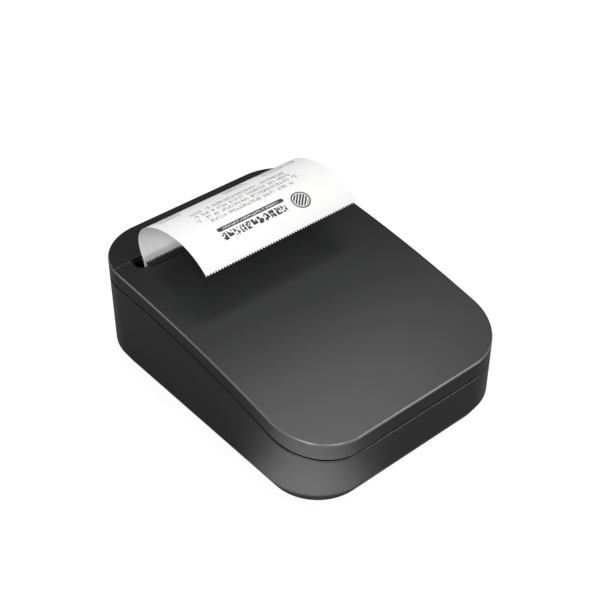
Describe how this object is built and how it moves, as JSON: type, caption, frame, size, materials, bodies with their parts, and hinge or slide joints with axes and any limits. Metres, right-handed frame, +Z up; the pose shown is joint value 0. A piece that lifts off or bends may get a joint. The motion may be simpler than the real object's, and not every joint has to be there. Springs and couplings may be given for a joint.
{
  "type": "portable receipt printer",
  "caption": "Portable receipt printer: rounded black case, hinged paper cover, serrated tear edge, geared platen and a printed strip curling out of its slot.",
  "frame": {"origin": "middle of the footprint on the surface that the printer stands on, under the centre of its case", "axes": "+Z up, +Y towards the end where the paper leaves, +X towards the side with the open button and the charging socket"},
  "size_m": [0.11, 0.144, 0.0716],
  "materials": {
    "case_plastic": "fine matt texture, charcoal black",
    "shell_plastic": "fine matt texture, charcoal black with slightly glossier rims",
    "inner_plastic": "plain moulded, dark grey",
    "bushing_plastic": "smooth low-friction plastic",
    "key_plastic": "smooth satin, dark grey",
    "plated_steel": "zinc-plated sheet steel",
    "polished_steel": "ground steel rod",
    "spring_steel": "drawn spring wire",
    "screw_steel": "passivated steel",
    "motor_can": "drawn steel can",
    "socket_shell": "nickel-plated stamped steel",
    "head_aluminium": "extruded aluminium",
    "head_ceramic": "glazed ceramic with a dark heater line",
    "cable_film": "flat flexible cable",
    "brass": "machined brass",
    "gear_plastic": "off-white acetal",
    "platen_rubber": "ground rubber",
    "foot_rubber": "soft matt rubber",
    "battery_wrap": "shrink wrap, dark blue",
    "board_green": "solder mask over glass fibre",
    "chip_black": "moulded component bodies",
    "lamp_lens": "frosted clear plastic",
    "tear_bar_black": "black-finished toothed steel strip",
    "roll_paper": "smooth thermal paper",
    "receipt_paper": "smooth thermal paper with grey print",
    "core_board": "spiral-wound grey-brown board"
  },
  "bodies": {
    "case": {"bottom_case": "case_plastic", "front_cap": "shell_plastic", "paper_tray": "inner_plastic", "mechanism_frame": "plated_steel", "battery_pack": "battery_wrap", "battery_lid": "case_plastic", "main_board": "board_green", "board_chips": "chip_black", "usb_socket": "socket_shell", "panel_board": "board_green", "panel_switches": "chip_black", "led_lenses": "lamp_lens", "rubber_feet": "foot_rubber", "case_screws": "screw_steel", "clip_inserts": "brass", "stepper_motor": "motor_can", "gear_axle": "polished_steel", "head_springs": "spring_steel", "head_cable": "cable_film", "latch_spring": "spring_steel", "hinge_shaft": "polished_steel", "paper_web": "roll_paper", "paper_sensor": "chip_black", "cover_switch": "chip_black"},
    "cover": {"paper_cover": "shell_plastic", "cover_frame": "inner_plastic", "cover_screws": "screw_steel", "tear_bar": "tear_bar_black", "platen_bushings": "bushing_plastic"},
    "platen": {"platen_shaft": "polished_steel", "platen_rubber": "platen_rubber", "platen_gear": "gear_plastic"},
    "head": {"print_head": "head_ceramic", "head_plate": "head_aluminium"},
    "latch": {"latch_shaft": "polished_steel", "latch_hooks": "plated_steel"},
    "open_button": {"open_button": "key_plastic"},
    "power_button": {"power_button": "key_plastic"},
    "feed_button": {"feed_button": "key_plastic"},
    "reduction": {"reduction_gear": "gear_plastic"},
    "motor": {"motor_pinion": "brass"},
    "roll": {"paper_roll": "roll_paper", "roll_core": "core_board"},
    "receipt": {"receipt_strip": "receipt_paper"}
  },
  "joints": [
    {"name": "cover_hinge", "type": "hinge", "parent": "case", "child": "cover", "pos_m": [0, -0.0675, 0.0282], "axis": [1, 0, 0], "range_deg": [0, 95], "deforming": ["receipt_strip"]},
    {"name": "platen_spin", "type": "hinge", "parent": "cover", "child": "platen", "pos_m": [0, 0.04641, 0.03956], "axis": [1, 0, 0], "continuous": true},
    {"name": "reduction_spin", "type": "hinge", "parent": "case", "child": "reduction", "pos_m": [-0.049, 0.04641, 0.02961], "axis": [1, 0, 0], "continuous": true},
    {"name": "motor_spin", "type": "hinge", "parent": "case", "child": "motor", "pos_m": [-0.049, 0.05273, 0.01865], "axis": [1, 0, 0], "continuous": true},
    {"name": "roll_spin", "type": "hinge", "parent": "case", "child": "roll", "pos_m": [0, 0.00801, 0.0239], "axis": [1, 0, 0], "continuous": true},
    {"name": "head_pivot", "type": "hinge", "parent": "case", "child": "head", "pos_m": [0, 0.05429, 0.03176], "axis": [-1, 0, 0], "range_deg": [0, 1.5], "stiffness_Nm_per_rad": 0.7, "deforming": ["head_springs"]},
    {"name": "latch_turn", "type": "hinge", "parent": "case", "child": "latch", "pos_m": [0, 0.0585, 0.03256], "axis": [-1, 0, 0], "range_deg": [0, 9.6]},
    {"name": "open_press", "type": "slide", "parent": "case", "child": "open_button", "axis": [-1, 0, 0], "range_m": [0, 0.0025], "stiffness_N_per_m": 400},
    {"name": "power_press", "type": "slide", "parent": "case", "child": "power_button", "axis": [0, -1, 0], "range_m": [0, 0.0006], "stiffness_N_per_m": 600},
    {"name": "feed_press", "type": "slide", "parent": "case", "child": "feed_button", "axis": [0, -1, 0], "range_m": [0, 0.0006], "stiffness_N_per_m": 600},
    {"name": "receipt_swing", "type": "hinge", "parent": "case", "child": "receipt", "pos_m": [0, 0.0526, 0.04876], "axis": [1, 0, 0], "range_deg": [-50, 0]}
  ],
  "couplings": [
    {"joint": "platen_spin", "follows": "roll_spin", "ratio": 3.8},
    {"joint": "reduction_spin", "follows": "roll_spin", "ratio": -5.1571},
    {"joint": "motor_spin", "follows": "roll_spin", "ratio": 12.893},
    {"joint": "latch_turn", "follows": "open_press", "rad_per_m": 66.667}
  ]
}
